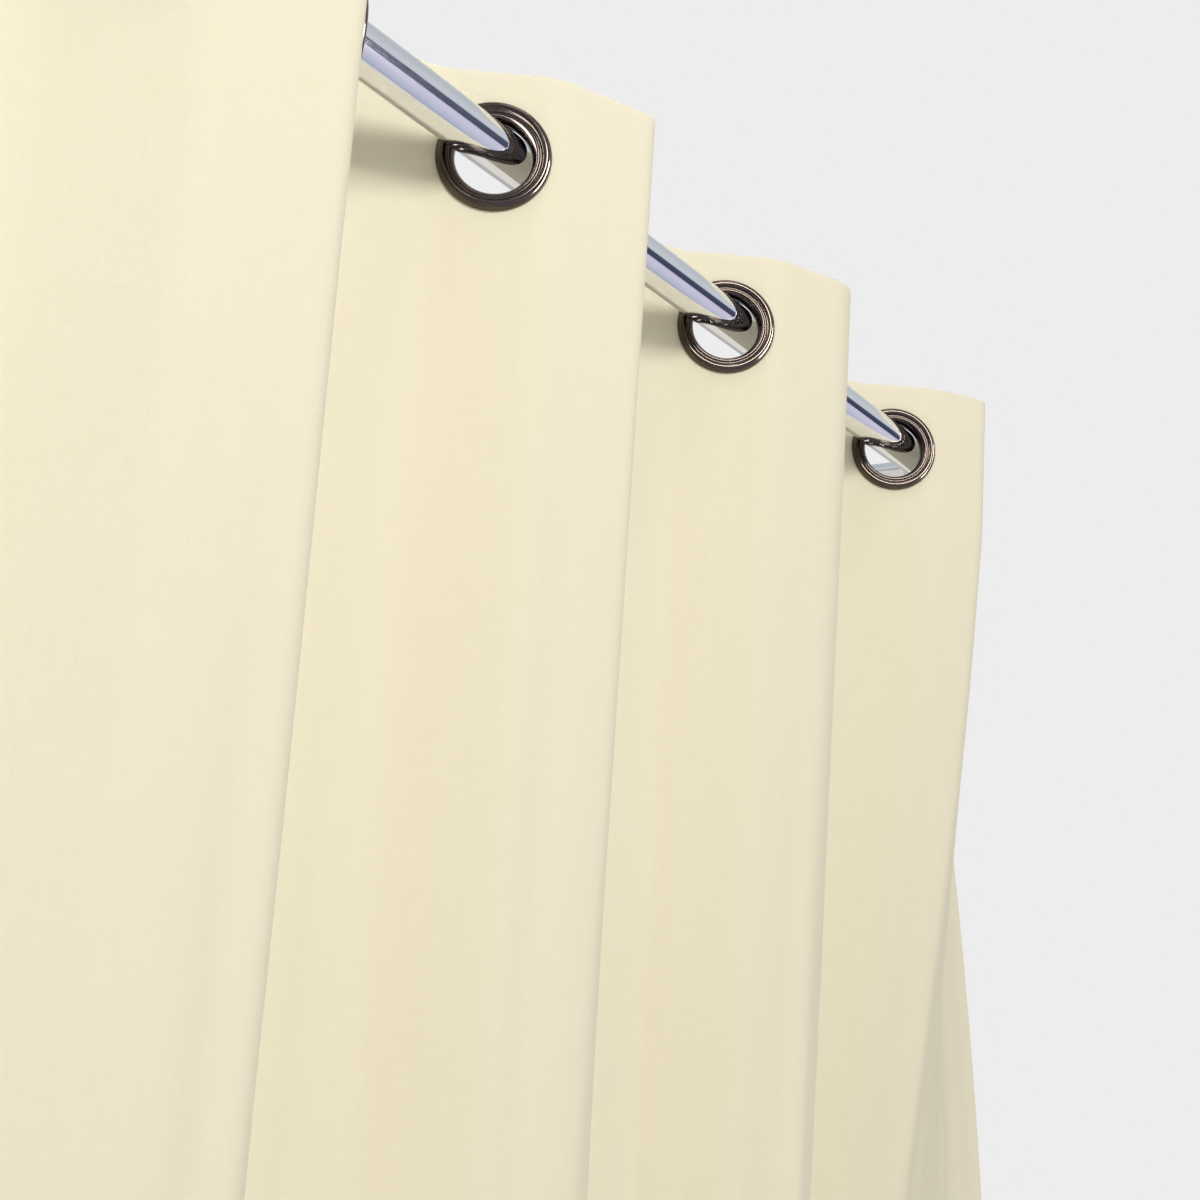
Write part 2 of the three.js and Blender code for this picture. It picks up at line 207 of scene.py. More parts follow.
def makeCloth(name, colour, shade):
    # Thick plain-woven cotton blackout cloth, piece dyed: matt, with a faint pale bloom at a
    #     slant, threads that vary a little in weight, and a weave only seen close to, whose gaps between
    #     threads carry a faint painted shade. The threads are drawn 0.9 mm apart, twice the real spacing,
    #     so that they show.
    material, tree, cloth = newMaterial(name, "BsdfPrincipled", {
        "Roughness": clothFinish["roughness"], "Sheen Weight": clothFinish["sheen"],
        "Sheen Roughness": 0.45, "Sheen Tint": linearColour("fff6e4"), "Specular IOR Level": 0.22,
    })
    run = addNode(tree, "UVMap", {"uv_map": "clothRun"})
    split = addNode(tree, "SeparateXYZ", links={0: (run, 0)})
    turn = math.pi * panelWidth / clothFinish["thread"]
    waves = []
    for channel in ("X", "Y"):
        scaled = addNode(tree, "Math", {"operation": "MULTIPLY"}, {1: turn}, {0: (split, channel)})
        waves.append(addNode(tree, "Math", {"operation": "SINE"}, links={0: (scaled, 0)}))
    over = addNode(tree, "Math", {"operation": "MULTIPLY"}, links={0: (waves[0], 0), 1: (waves[1], 0)})
    weave = addNode(tree, "Math", {"operation": "MULTIPLY_ADD"}, {1: 0.5, 2: 0.5}, {0: (over, 0)})
    # slubs: noise drawn out along the warp and along the weft
    slubs = []
    for turnBy in ((1, 1 / clothFinish["slubLength"]), (1 / clothFinish["slubLength"], 1)):
        stretch = addNode(tree, "Mapping", values={
            "Scale": (turnBy[0] * panelWidth / 1.6, turnBy[1] * panelWidth / 1.6, 1)}, links={0: (run, 0)})
        slubs.append(addNode(tree, "TexNoise", values={"Scale": 1.0, "Detail": 2.0, "Roughness": 0.6},
                             links={"Vector": (stretch, 0)}))
    slub = addNode(tree, "Math", {"operation": "ADD"}, links={0: (slubs[0], 0), 1: (slubs[1], 0)})
    # dye: a slow drift of shade over some hundred millimetres
    place = addNode(tree, "TexCoord")
    drift = addNode(tree, "TexNoise", values={"Scale": 5.0, "Detail": 3.0, "Roughness": 0.5},
                    links={"Vector": (place, "Object")})
    grain = addNode(tree, "Math", {"operation": "MULTIPLY_ADD"}, {1: 0.55, 2: -0.1}, {0: (slub, 0)})
    mixed = addNode(tree, "Math", {"operation": "MULTIPLY_ADD", "use_clamp": True}, {1: 0.35},
                    {0: (drift, 0), 2: (grain, 0)})
    colours = addNode(tree, "Mix", {"data_type": "RGBA"}, {6: linearColour(shade), 7: linearColour(colour)},
                      {0: (mixed, 0)})
    # painted shade: the colour is darkened by up to 3.5 % in the weave's gaps between threads, where shade
    # falls
    gaps = addNode(tree, "MapRange", values={"To Min": 0.965, "To Max": 1.0}, links={0: (weave, 0)})
    gapShadedColour = addNode(tree, "Mix", {"data_type": "RGBA", "blend_type": "MULTIPLY"}, {0: 1.0},
                     {6: (colours, 2), 7: (gaps, 0)})
    tree.links.new(gapShadedColour.outputs[2], cloth.inputs["Base Color"])
    relief = addNode(tree, "Math", {"operation": "MULTIPLY_ADD"}, {1: 0.8}, {0: (slub, 0), 2: (weave, 0)})
    bump = addNode(tree, "Bump", values={"Strength": 0.6, "Distance": clothFinish["bump"]},
                   links={"Height": (relief, 0)})
    tree.links.new(bump.outputs[0], cloth.inputs["Normal"])
    return material


def makeMetal(name, colour, dark, roughness, spread, grainMm, coat=0.0, drawn=1.0):
    # A polished or plated metal: its colour breathes between two values over some tens of
    # millimetres, and fine polishing marks of the given grain roughen and dent it a little.
    material, tree, metal = newMaterial(name, "BsdfPrincipled", {
        "Metallic": 1.0, "Coat Weight": coat, "Coat Roughness": 0.08,
    })
    place = addNode(tree, "TexCoord")
    cloud = addNode(tree, "TexNoise", values={"Scale": 60.0, "Detail": 3.0},
                    links={"Vector": (place, "Object")})
    tone = addNode(tree, "Mix", {"data_type": "RGBA"}, {6: linearColour(dark), 7: linearColour(colour)},
                   {0: (cloud, 0)})
    tree.links.new(tone.outputs[2], metal.inputs["Base Color"])
    marks = addNode(tree, "Mapping", values={"Scale": (drawn, 1.0, 1.0)}, links={0: (place, "Object")})
    grain = addNode(tree, "TexNoise", values={"Scale": 1000 / grainMm, "Detail": 2.0, "Roughness": 0.7},
                    links={"Vector": (marks, 0)})
    gloss = addNode(tree, "MapRange", values={
        "To Min": roughness - spread, "To Max": roughness + spread}, links={0: (grain, 0)})
    tree.links.new(gloss.outputs[0], metal.inputs["Roughness"])
    bump = addNode(tree, "Bump", values={"Strength": 0.3, "Distance": 0.000001},
                   links={"Height": (grain, 0)})
    tree.links.new(bump.outputs[0], metal.inputs["Normal"])
    return material


curtain = {
    "rings": 8, "pitch": 125.0, "lastPitch": 105.0, "lastRingX": 44.0,
    "clampFlat": 31.0,      # flat cloth either side of a ring's centre
    "foldAngle": 0.953,     # cloth at a ring, from the rod's direction, in radians
    "sideAllowance": 90.0,  # ring 1 or 8 to the side edge, along the cloth
    "bandDepth": 100.0, "hemDepth": 100.0, "sideHem": 25.0,
    "bend": 9.0, "crest": 5.0,  # half the cloth taken by the turn at a flat's end, and by a crest
    "crestOf": {4: 9.0, 5: 15.0, 6: 9.0},
    "lean": (12.0, 0.36, 0.62), "endLean": (15.0, 0.41, 0.78),  # crest past the middle, facets' headings
    "settleLength": 480.0, "creep": {"left": 0.0, "right": 26.0}, "ease": {"left": 0.3, "right": 0.8},
    "edgeCreep": 14.0, "edgeTurn": 0.25, "swingBack": 55.0,
    "halfThickness": 0.45, "turnRadius": 0.66,
    "holeRadius": 22.6, "columnStep": 3.4, "rowStep": 8.0, "fineStep": 2.6,
    "waveDepth": 1.7, "drift": 3.0,
}
rodDepth = 100.0
rodRadius = 12.5
flat, fold = curtain["clampFlat"], curtain["foldAngle"]
ringLow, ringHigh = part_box("ring_front_3")
clothLow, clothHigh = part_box("cloth_3")
ringZ = (ringLow.z + ringHigh.z) * 500
topZ, bottomZ = clothHigh.z * 1000, clothLow.z * 1000
bandZ = topZ - curtain["bandDepth"]
ringY = -rodDepth - 1.85 * math.cos(fold)  # the rings stand askew, so their middles sit off the axis


def ringX(k):
    last = curtain["rings"]
    if k == last:
        return curtain["lastRingX"]
    return curtain["lastRingX"] - curtain["lastPitch"] - curtain["pitch"] * (last - 1 - k)


def crestRadius(pitch):
    return (pitch - 2 * flat * math.cos(fold)) / (2 * math.sin(fold))


def runBetween(pitch):
    # Cloth from one ring to the next: two flats and one crest.
    return 2 * (flat + crestRadius(pitch) * fold)


fullRun, lastRun = runBetween(curtain["pitch"]), runBetween(curtain["lastPitch"])
panelWidth = 2 * curtain["sideAllowance"] + 6 * fullRun + lastRun
print(f"curtain: {panelWidth:.0f} mm of cloth, {fullRun:.1f} mm from ring to ring")

makers = {
    "cloth": makeCloth("cream plain-woven blackout cotton", clothFinish["colour"], clothFinish["shade"]),
    "thread": makeCloth("cream spun polyester sewing thread", "f4ead2", "efe3c6"),
    "chrome": makeMetal("polished chrome plate on steel tube", "eaebee", "e0e2e8",
                        0.07, 0.03, 0.8, 0.0, 0.1),
    "castChrome": makeMetal("polished chrome plate on cast zinc", "e2e4e8", "d2d5da", 0.12, 0.05, 0.6),
    "gunmetal": makeMetal("gunmetal plate on pressed steel, polished", "5c524c", "4e4641",
                          0.15, 0.012, 0.25, 0.15),
    "zinc": makeMetal("bright zinc plate on turned steel", "b9bdc2", "a2a6ac", 0.33, 0.08, 0.7),
}
print("materials made")


def facetAngle(length, pitch, crest):
    # The heading of the straight cloth between a flat and the crest. Half a fold's reach is the
    # flat, a bend, the facet and half the crest, each a length times the mean cosine of its
    # heading; the angle that makes it half the ring spacing is found by halving an interval.
    bend = curtain["bend"]
    low, high = np.full_like(crest, 0.05), np.full_like(crest, 0.93)
    for _ in range(40):
        angle = (low + high) / 2
        reach = ((flat - bend) * math.cos(fold)
                 + 2 * bend * (math.sin(fold) - np.sin(angle)) / (fold - angle)
                 + (length / 2 - crest - flat - bend) * np.cos(angle) + crest * np.sin(angle) / angle)
        low, high = np.where(reach > pitch / 2, angle, low), np.where(reach > pitch / 2, high, angle)
    return angle


def foldKnots(pitch, share, creep=0.0, ease=0.0, sideEdge=False, lean=0, half=None):
    # Cloth length and heading at the points where a fold turns: straight past the clamped ring,
    # a soft bend, a straight facet to a tight crest, and the same back. Share is how far an end
    # fold has settled at that height, from 0 to 1: its crest creeps back and its far half opens.
    # Lean is 1 for a crest that stands past the middle, with a long flat facet before it and a
    # short steep one after, -1 for the reverse and 0 for an even fold.
    length, level = runBetween(pitch), 0 * share
    shift = creep * share
    bend = np.minimum(curtain["bend"], (flat - shift) * 0.8)
    crest = (half or curtain["crest"]) * (1 + 0.8 * share)
    facet = facetAngle(length, pitch, crest)
    past, *angles = curtain["endLean" if sideEdge else "lean"]
    middle = length / 2 + lean * past
    first, second = [level + angle for angle in angles[::lean]] if lean else (facet, facet)
    kept = 1 - ease * share
    knots = [
        (level, level - fold), (flat - shift - bend, level - fold), (flat - shift + bend, -first),
        (middle - shift - crest, -first), (middle - shift + crest, second * kept),
        (length - flat - shift - bend, second * kept), (length - flat - shift + bend, fold * kept),
    ]
    if not sideEdge:
        return knots + [(level + length, fold * kept)]
    edge = fold - (curtain["sideAllowance"] - flat) / crestRadius(curtain["pitch"])
    return knots + [(length + flat - curtain["edgeCreep"] * share, fold * kept),
                    (level + length + curtain["sideAllowance"], edge - curtain["edgeTurn"] * share)]


def carryHeading(knots, marks, fine=10):
    # Walks along the cloth: the heading runs straight between knots, and the place is the sum of
    # cos and sin of the heading over short steps. Rows are heights, columns are marks.
    def headingAt(length):
        heading = knots[0][1][:, None] + 0 * length
        for (from_, first), (to, second) in zip(knots, knots[1:]):
            slope = (length - from_[:, None]) / np.maximum(to - from_, 1e-9)[:, None]
            heading = heading + (second - first)[:, None] * np.clip(slope, 0, 1)
        return heading
    gaps = np.diff(marks)
    middles = (marks[:-1, None] + gaps[:, None] * (np.arange(fine) + 0.5) / fine).ravel()
    heading = headingAt(middles[None, :]).reshape(len(knots[0][0]), len(gaps), fine)
    nought = np.zeros((len(knots[0][0]), 1))
    out = np.concatenate([nought, np.cumsum(np.cos(heading).mean(2) * gaps, 1)], 1)
    back = np.concatenate([nought, np.cumsum(np.sin(heading).mean(2) * gaps, 1)], 1)
    return out, back, headingAt(marks[None, :])


def swing(x, share):
    # The right end fold hangs back towards the wall far below: share cubed, times a smooth rise
    # from the crest before ring 7 and a smooth fall to the side edge.
    inner = ringX(curtain["rings"] - 1)
    rise = smoothStep((x - inner + curtain["pitch"] / 2) / (curtain["pitch"] / 2 + 20))
    fall = smoothStep(x / (curtain["lastRingX"] + curtain["sideAllowance"]))
    return curtain["swingBack"] * share[:, None] ** 3 * rise * (1 - fall)


def evenMarks(length):
    return np.linspace(0, length, round(length / curtain["columnStep"]) + 1)


def foldSurface(k, heights):
    # Strip k's middle surface, seen from above: x, y and heading over heights and columns, and
    # each column's length of cloth from the strip's left end. Strip 0 is the left side edge and
    # strip 8 the right one; strip k hangs between rings k and k + 1.
    share = np.tanh(np.maximum(0, bandZ - heights) / curtain["settleLength"])
    last = curtain["rings"]
    if 2 <= k <= last - 2:
        marks = evenMarks(fullRun)
        side = 1 if k % 2 else -1
        knots = foldKnots(curtain["pitch"], share, lean=side, half=curtain["crestOf"].get(k))
        out, back, heading = carryHeading(knots, marks)
        taken = smoothStep((marks - flat) / (fullRun - 2 * flat))  # the crest takes up what is left over
        x = ringX(k) + out + (curtain["pitch"] - out[:, -1:]) * taken
        y = ringY + side * (back - back[:, -1:] * taken)
        return x, y + swing(x, share), side * heading, marks
    right = k >= last - 1
    pitch = curtain["lastPitch"] if right else curtain["pitch"]
    inner = evenMarks(runBetween(pitch))
    marks = np.concatenate([inner, inner[-1] + evenMarks(curtain["sideAllowance"])[1:]])
    end = "right" if right else "left"
    lean = 0 if right else -1
    knots = foldKnots(pitch, share, curtain["creep"][end], curtain["ease"][end], True, lean)
    out, back, heading = carryHeading(knots, marks)
    if lean:
        top = carryHeading(foldKnots(pitch, np.zeros(1), 0, 0, True, lean), marks)
        taken = smoothStep((marks - flat) / (inner[-1] - 2 * flat))
        out = out + (pitch - top[0][0, len(inner) - 1]) * taken
        back = back - top[1][0, len(inner) - 1] * taken
    kept = slice(0, len(inner)) if k in (1, last - 1) else slice(len(inner) - 1, None)
    out, back, heading, marks = out[:, kept], back[:, kept], heading[:, kept], marks[kept]
    if right:
        x = ringX(last - 1) + out
        return x, ringY + back + swing(x, share), heading, marks - marks[0]
    return (ringX(2) - out)[:, ::-1], (ringY + back)[:, ::-1], -heading[:, ::-1], (marks[-1] - marks)[::-1]


def sheetRows():
    # The sheet's path in upright section, from the facing's raw edge up its back, over the top
    # edge, down the face, round the hem's fold and up to the hem's stitched edge. Gives offset
    # from the face sheet, height, the outward side as (offset, height), and length of cloth.
    r, thick = curtain["turnRadius"], curtain["halfThickness"]
    upper, lower = topZ - r - thick, bottomZ + r + thick
    fine, step = curtain["fineStep"], curtain["rowStep"]
    nearRing = ringZ + np.arange(-11, 12) * fine
    below = np.linspace(bandZ, nearRing[0], 5)[:-1]
    above = np.linspace(nearRing[-1], upper, 6)[1:]
    hemTop = bottomZ + curtain["hemDepth"]
    hem = np.concatenate([np.linspace(lower, hemTop - 8, 12), hemTop - np.array([6.0, 4.0, 2.0, 0.0])])
    body = np.linspace(hemTop, bandZ, round((bandZ - hemTop) / step) + 1)[1:]
    face = np.concatenate([hem, body, below[1:], nearRing, above])[::-1]
    facing = np.concatenate([[bandZ], below[1:], nearRing, above])
    arc = np.linspace(0, math.pi, 9)
    offsets = np.concatenate([np.full(len(facing) - 1, -2 * r), (-r + r * np.cos(arc))[::-1],
                              np.zeros(len(face) - 2), -r + r * np.cos(arc), np.full(len(hem) - 1, -2 * r)])
    heights = np.concatenate([facing[:-1], (upper + r * np.sin(arc))[::-1], face[1:-1],
                              lower - r * np.sin(arc), hem[1:]])
    sideways = np.concatenate([-np.ones(len(facing) - 1), np.cos(arc)[::-1], np.ones(len(face) - 2),
                               np.cos(arc), -np.ones(len(hem) - 1)])
    upwards = np.concatenate([np.zeros(len(facing) - 1), np.sin(arc)[::-1], np.zeros(len(face) - 2),
                              -np.sin(arc), np.zeros(len(hem) - 1)])
    length = np.concatenate([[0], np.cumsum(np.hypot(np.diff(offsets), np.diff(heights)))])
    return offsets, heights, sideways, upwards, length


rowOffset, rowHeight, rowSide, rowUp, rowLength = sheetRows()


def waves(k, run, length, heights):
    # Soft upright waves below the band: three sines across the cloth whose phase wanders slowly
    # with height, deeper further down, and none within 14 mm of a ring's line or a side edge.
    depth = smoothStep((bandZ + 20 - heights) / 700)[:, None] * curtain["waveDepth"]
    window = smoothStep((run - 12) / 30) * smoothStep((length - 12 - run) / 30)
    total = 0
    for i, (wide, size) in enumerate([(61.0, 0.9), (37.0, 0.6), (24.0, 0.28)]):
        wander = 1.6 * np.sin(heights / (260 + 90 * i) + 1.7 * k + 2.1 * i)[:, None]
        total = total + size * np.sin(2 * math.pi * run / wide + wander + 2.4 * k + i)
    return depth * window * total


def drifted(x, heights):
    # The whole curtain sways a little: sideways and in depth, by slow sines of place and height.
    depth = smoothStep((bandZ - heights) / 1100)[:, None] * curtain["drift"]
    tall = heights[:, None]
    return depth * np.sin(x / 190 + tall / 520), depth * np.sin(x / 143 - tall / 610 + 1.0)


def stripSurface(k, heights, offsets, trim=slice(None)):
    # Points of a layer of strip k at the given heights and offsets, with the face's outward
    # direction at each, and the lengths of cloth of its columns.
    x, y, heading, run = foldSurface(k, heights)
    shiftX, shiftY = drifted(x, heights)
    lift = waves(k, run[None, :], run[-1], heights) + np.asarray(offsets)[:, None]
    outX, outY = np.sin(heading), -np.cos(heading)
    place = np.stack([x + shiftX + outX * lift, y + shiftY + outY * lift,
                      np.repeat(heights[:, None], len(run), 1)], -1)
    return place[:, trim], np.stack([outX, outY, 0 * outX], -1)[:, trim], run[trim]


def closedSheet(place, outward, kept):
    # A thin closed shell about a grid of middle points: each is moved half a thickness both
    # ways, and wherever a kept cell meets a missing one, or the grid ends, a wall closes it.
    # Outward holds the half thickness as its length. Returns points, faces and grid numbers.
    rows, columns = place.shape[:2]
    count = rows * columns
    points = np.concatenate([(place + outward).reshape(-1, 3), (place - outward).reshape(-1, 3)])
    index = np.arange(count).reshape(rows, columns)
    a, b, c, d = index[:-1, :-1], index[:-1, 1:], index[1:, 1:], index[1:, :-1]
    outer = np.stack([a, d, c, b], -1)[kept]
    inner = outer[:, ::-1] + count
    edges = np.concatenate([outer[:, [0, 1]], outer[:, [1, 2]], outer[:, [2, 3]], outer[:, [3, 0]]])
    forward, reverse = edges[:, 0] * count + edges[:, 1], edges[:, 1] * count + edges[:, 0]
    rim = edges[~np.isin(forward, reverse)]
    walls = np.stack([rim[:, 1], rim[:, 0], rim[:, 0] + count, rim[:, 1] + count], 1)
    used, renumbered = np.unique(np.concatenate([outer, inner, walls]), return_inverse=True)
    return points[used], renumbered.reshape(-1, 4), used % count


def makeStrip(k):
    place, face, run = stripSurface(k, rowHeight, rowOffset)
    last = curtain["rings"]
    thick = np.full(place.shape[:2], curtain["halfThickness"])
    thick[[0, -1]] *= 0.5  # raw edges are pressed thin
    if k in (0, last):
        thick[:, 0 if k == 0 else -1] *= 0.55
    upward = np.array([0, 0, 1.0])
    outward = (face * rowSide[:, None, None] + upward * rowUp[:, None, None]) * thick[..., None]
    # the holes: cells that reach inside a ring's barrel go, and their rims are drawn to a circle
    cellRun = (run[:-1] + run[1:])[None, :] / 2
    cellRise = ((rowHeight[:-1] + rowHeight[1:]) / 2 - ringZ)[:, None]
    kept = np.ones((len(rowHeight) - 1, len(run) - 1), bool)
    for centre in ([0.0] if k > 0 else []) + ([run[-1]] if k < last else []):
        kept &= np.hypot(cellRun - centre, cellRise) > curtain["holeRadius"]
    for centre, there in ((0, k > 0), (-1, k < last)):
        if not there:
            continue
        across = np.abs(run - run[centre])[None, :]
        distance = np.hypot(across, (rowHeight - ringZ)[:, None])
        near = distance < curtain["holeRadius"] + 2.4
        pull = np.where(near, curtain["holeRadius"] / np.maximum(distance, 1e-6), 1.0)
        # the cloth's own direction at the ring
        along = np.stack([-face[:, centre, 1], face[:, centre, 0]], -1)
        alongStep = (run - run[centre])[None, :] * (pull - 1)
        place[..., 0] += alongStep * along[:, None, 0]
        place[..., 1] += alongStep * along[:, None, 1]
        place[..., 2] += (rowHeight - ringZ)[:, None] * (pull - 1)
    points, faces, cells = closedSheet(place, outward, kept)
    start = stripStart(k)
    uv = np.stack(np.broadcast_arrays((start + run)[None, :], rowLength[:, None]), -1).reshape(-1, 2)[cells]
    name = {0: "curtainSideLeft", last: "curtainSideRight"}.get(k, f"curtainFold_{k}")
    piece = makePiece(name, points, [faces], makers["cloth"], uv / panelWidth, sharp=60)
    length = rowLength[-1] / 1000
    nodes = [f"{layer}_{max(k, 1)}" for layer in ("cloth", "heading_band", "bottom_hem")]
    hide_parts(*nodes)
    follow(piece, k)
    return piece, (run[-1] / 1000, length)


def stripStart(k):
    # Length of cloth from the panel's left edge to strip k.
    if k == 0:
        return 0.0
    return curtain["sideAllowance"] + fullRun * (min(k, 7) - 1) + (lastRun if k == 8 else 0)


def follow(piece, k):
    # A side edge rides with its ring. A fold is joined to no ring: its placing is baked into its
    #     points.
    if k == 0:
        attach(piece, "station_1")
    elif k == curtain["rings"]:
        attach(piece, f"station_{k}")
    else:
        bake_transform(piece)


stitch = {"length": 2.3, "spacing": 3.1, "radius": 0.26, "sink": 0.12}


def stitchRow(centres, directions, outs):
    # A capsule for each stitch: a six-sided tube along the seam whose radius is the root of
    # 1 - t^4, flattened against the cloth. Arrays are one row for each stitch.
    t = np.array([-1.0, -0.8, -0.3, 0.3, 0.8, 1.0])
    width = np.sqrt(np.maximum(0, 1 - t ** 4)) * stitch["radius"]
    width[[0, -1]] = 0.03
    angle = np.arange(6) / 6 * 2 * math.pi
    across = np.cross(outs, directions)
    ring = (width[:, None, None] * (np.cos(angle)[None, :, None] * across[:, None, None, :]
                                    + np.sin(angle)[None, :, None] * outs[:, None, None, :] * 0.75))
    reach = (t * stitch["length"] / 2)[None, :, None, None]
    points = centres[:, None, None, :] + directions[:, None, None, :] * reach + ring
    index = np.arange(36).reshape(6, 6)
    index = np.concatenate([index, index[:, :1]], 1)
    quads = gridFaces(index)[0]
    caps = np.array([[0, 5, 4, 3, 2, 1], [30, 31, 32, 33, 34, 35]])
    shift = np.arange(len(centres))[:, None, None] * 36
    faces = [(quads[None] + shift).reshape(-1, 4), (caps[None] + shift).reshape(-1, 6)]
    return points.reshape(-1, 3), faces


def makeStitches(k):
    # The seam that holds the bottom hem of strip k, and down a side edge the side hem's too, on
    # the face and on the back.
    seamZ = bottomZ + curtain["hemDepth"] - 3.5
    last = curtain["rings"]
    _, _, heading, run = foldSurface(k, np.array([seamZ]))
    place, face, _ = stripSurface(k, np.array([seamZ]), [0.0])
    spots = np.arange(stitch["spacing"] / 2, run[-1], stitch["spacing"])
    line = np.stack([np.interp(spots, run, place[0, :, i]) for i in range(3)], -1)
    turn = np.interp(spots, run, heading[0])
    ahead = np.stack([np.cos(turn), np.sin(turn), 0 * turn], -1)
    out = np.stack([np.sin(turn), -np.cos(turn), 0 * turn], -1)
    half, sink = curtain["halfThickness"], stitch["sink"]
    back = 2 * curtain["turnRadius"] + half - sink
    rows = [(line + out * (half - sink), ahead, out), (line - out * back, ahead, -out)]
    if k in (0, last):
        inset = curtain["sideHem"] - 3.5
        at = inset if k == 0 else run[-1] - inset
        heights = np.arange(bottomZ + curtain["hemDepth"] + 3, bandZ - 3, stitch["spacing"])
        place, face, run = stripSurface(k, heights, 0 * heights)
        column = int(np.argmin(np.abs(run - at)))
        line, out = place[:, column], face[:, column]
        ahead = np.gradient(line, axis=0)
        ahead /= np.linalg.norm(ahead, axis=1)[:, None]
        back = sideHem["offset"] + sideHem["halfThickness"] - sink
        rows += [(line + out * (half - sink), ahead, out), (line - out * back, ahead, -out)]
    points, faces = stitchRow(*(np.concatenate(parts) for parts in zip(*rows)))
    uv = np.stack([np.linspace(0, 1, len(points)), points[:, 2] / panelWidth], -1)
    piece = makePiece(f"seam_{k}", points, faces, makers["thread"], uv, sharp=80)
    follow(piece, k)
    return piece


sideHem = {"offset": 1.05, "halfThickness": 0.4}


def makeSideHem(k):
    # The side edge's turned-in hem: a 25 mm strip behind the face, from the bottom hem up to the
    # heading band, with pressed edges.
    between = (rowHeight < bandZ - 1) & (rowHeight > bottomZ + curtain["hemDepth"] + 1)
    heights = rowHeight[(rowOffset == 0) & between]
    place, face, run = stripSurface(k, heights, np.full(len(heights), -sideHem["offset"]))
    wide = run <= curtain["sideHem"] if k == 0 else run >= run[-1] - curtain["sideHem"]
    place, face = place[:, wide], face[:, wide]
    thick = np.full(place.shape[:2], sideHem["halfThickness"])
    thick[:, [0, -1]] *= 0.5
    kept = np.ones((place.shape[0] - 1, place.shape[1] - 1), bool)
    points, faces, cells = closedSheet(place, face * thick[..., None], kept)
    uv = np.stack(np.broadcast_arrays(run[wide][None, :], heights[:, None]), -1).reshape(-1, 2)[cells]
    piece = makePiece(f"sideHem_{k}", points, [faces], makers["cloth"], uv / panelWidth, sharp=60)
    follow(piece, k)
    return piece


for k in range(curtain["rings"] + 1):
    strip, size = makeStrip(k)
    extras = [makeStitches(k)]
    if k in (0, curtain["rings"]):
        extras.append(makeSideHem(k))
    print(f"{strip.name}: {size[0] * 1000:.0f} x {size[1] * 1000:.0f} mm of cloth")


# The front half: a rounded outer band, a groove, an inner lip that rolls into the barrel.
# [radius, height above the face sheet's middle, fillet]
ringFront = [
    [20.0, -4.5, 0], [21.35, -4.5, 0.2], [21.45, 0.62, 0.3], [29.9, 0.55, 0.12], [30.0, 1.5, 0.5],
    [29.3, 3.9, 1.3], [27.3, 5.3, 1.2], [25.5, 4.6, 0.8], [24.6, 3.3, 0.35], [23.9, 3.3, 0.3],
    [23.2, 4.0, 0.45], [22.2, 3.9, 0.5], [21.0, 2.3, 0.7], [20.2, 0.6, 0.7], [20.0, -1.0, 0.6],
    [20.0, -4.5, 0],
]
ringBack = [
    [21.85, -4.4, 0], [24.6, -4.5, 0.4], [27.9, -4.35, 1.0], [29.3, -3.2, 0.8], [29.4, -2.0, 0.15],
    [21.85, -2.0, 0.2], [21.85, -4.4, 0],
]
for k in range(1, curtain["rings"] + 1):
    heading = fold if k % 2 == 0 else -fold
    facing = np.array([math.sin(heading), -math.cos(heading), 0])
    centre = np.array([ringX(k), ringY, ringZ])
    front = turnedPiece(f"ringFront_{k}", roundedOutline(ringFront, 6), centre, facing,
                        makers["gunmetal"], 128)
    settle(front, f"station_{k}", "gunmetal", f"ring_front_{k}")
    back = turnedPiece(f"ringBack_{k}", roundedOutline(ringBack, 5), centre, facing, makers["gunmetal"], 96)
    settle(back, f"station_{k}", "gunmetal", f"ring_back_{k}")
print("rings made")


rod = {"right": 67.0, "left": -1260.0, "wall": 1.2}
alongX, toRoom = np.array([1.0, 0, 0]), np.array([0, -1.0, 0])
bore = rodRadius - rod["wall"]
tube = [[bore, rod["left"] + 0.3], [bore + 0.3, rod["left"]], [rodRadius - 0.3, rod["left"]]]
tube += [[rodRadius, x] for x in np.linspace(rod["left"] + 0.3, rod["right"] - 0.3, 24)]
tube += [[rodRadius - 0.3, rod["right"]], [bore + 0.3, rod["right"]], [bore, rod["right"] - 0.3], tube[0]]
settle(turnedPiece("rodTube", tube, [0, -rodDepth, 0], alongX, makers["chrome"], 160, sharp=30),
       "rod_assembly", "chrome", "rod")

capOutline = roundedOutline([
    [0, -18, 0], [bore - 1.3, -18, 0.4], [bore - 0.4, -16, 0.6], [bore - 0.4, 0.3, 0.1], [13.6, 0.3, 0.3],
    [14.0, 0.9, 0.4], [14.0, 1.9, 0.4], [13.3, 2.4, 0.25], [12.9, 2.2, 0.2],
    [11.8, 3.0, 0.8], [6, 3.7, 2.0], [0, 3.85, 0],
], 5)
for side, x, outward in (("right", rod["right"], alongX), ("left", rod["left"], -alongX)):
    cap = turnedPiece(f"endCap_{side}", capOutline, [x, -rodDepth, 0], outward, makers["castChrome"], 96)
    settle(cap, f"cap_{side}", "chrome", f"end_cap_{side}")
print("rod made")


bracket = {
    "span": 1200.0, "discRadius": 26.0, "discThickness": 3.0, "screwPitch": 36.0, "screwLength": 35.0,
    "armRadius": 6.0, "cradleWidth": 14.0, "cradleWall": 2.8, "cradleRise": 8.0,
    "bossRadius": 5.0, "bossLength": 3.0, "knobLength": 7.0,
    "rosetteRadius": 30.0, "rosetteDepth": 16.0, "rosetteWall": 1.5,
    "collarRadius": 10.0, "collarLength": 6.0,
}


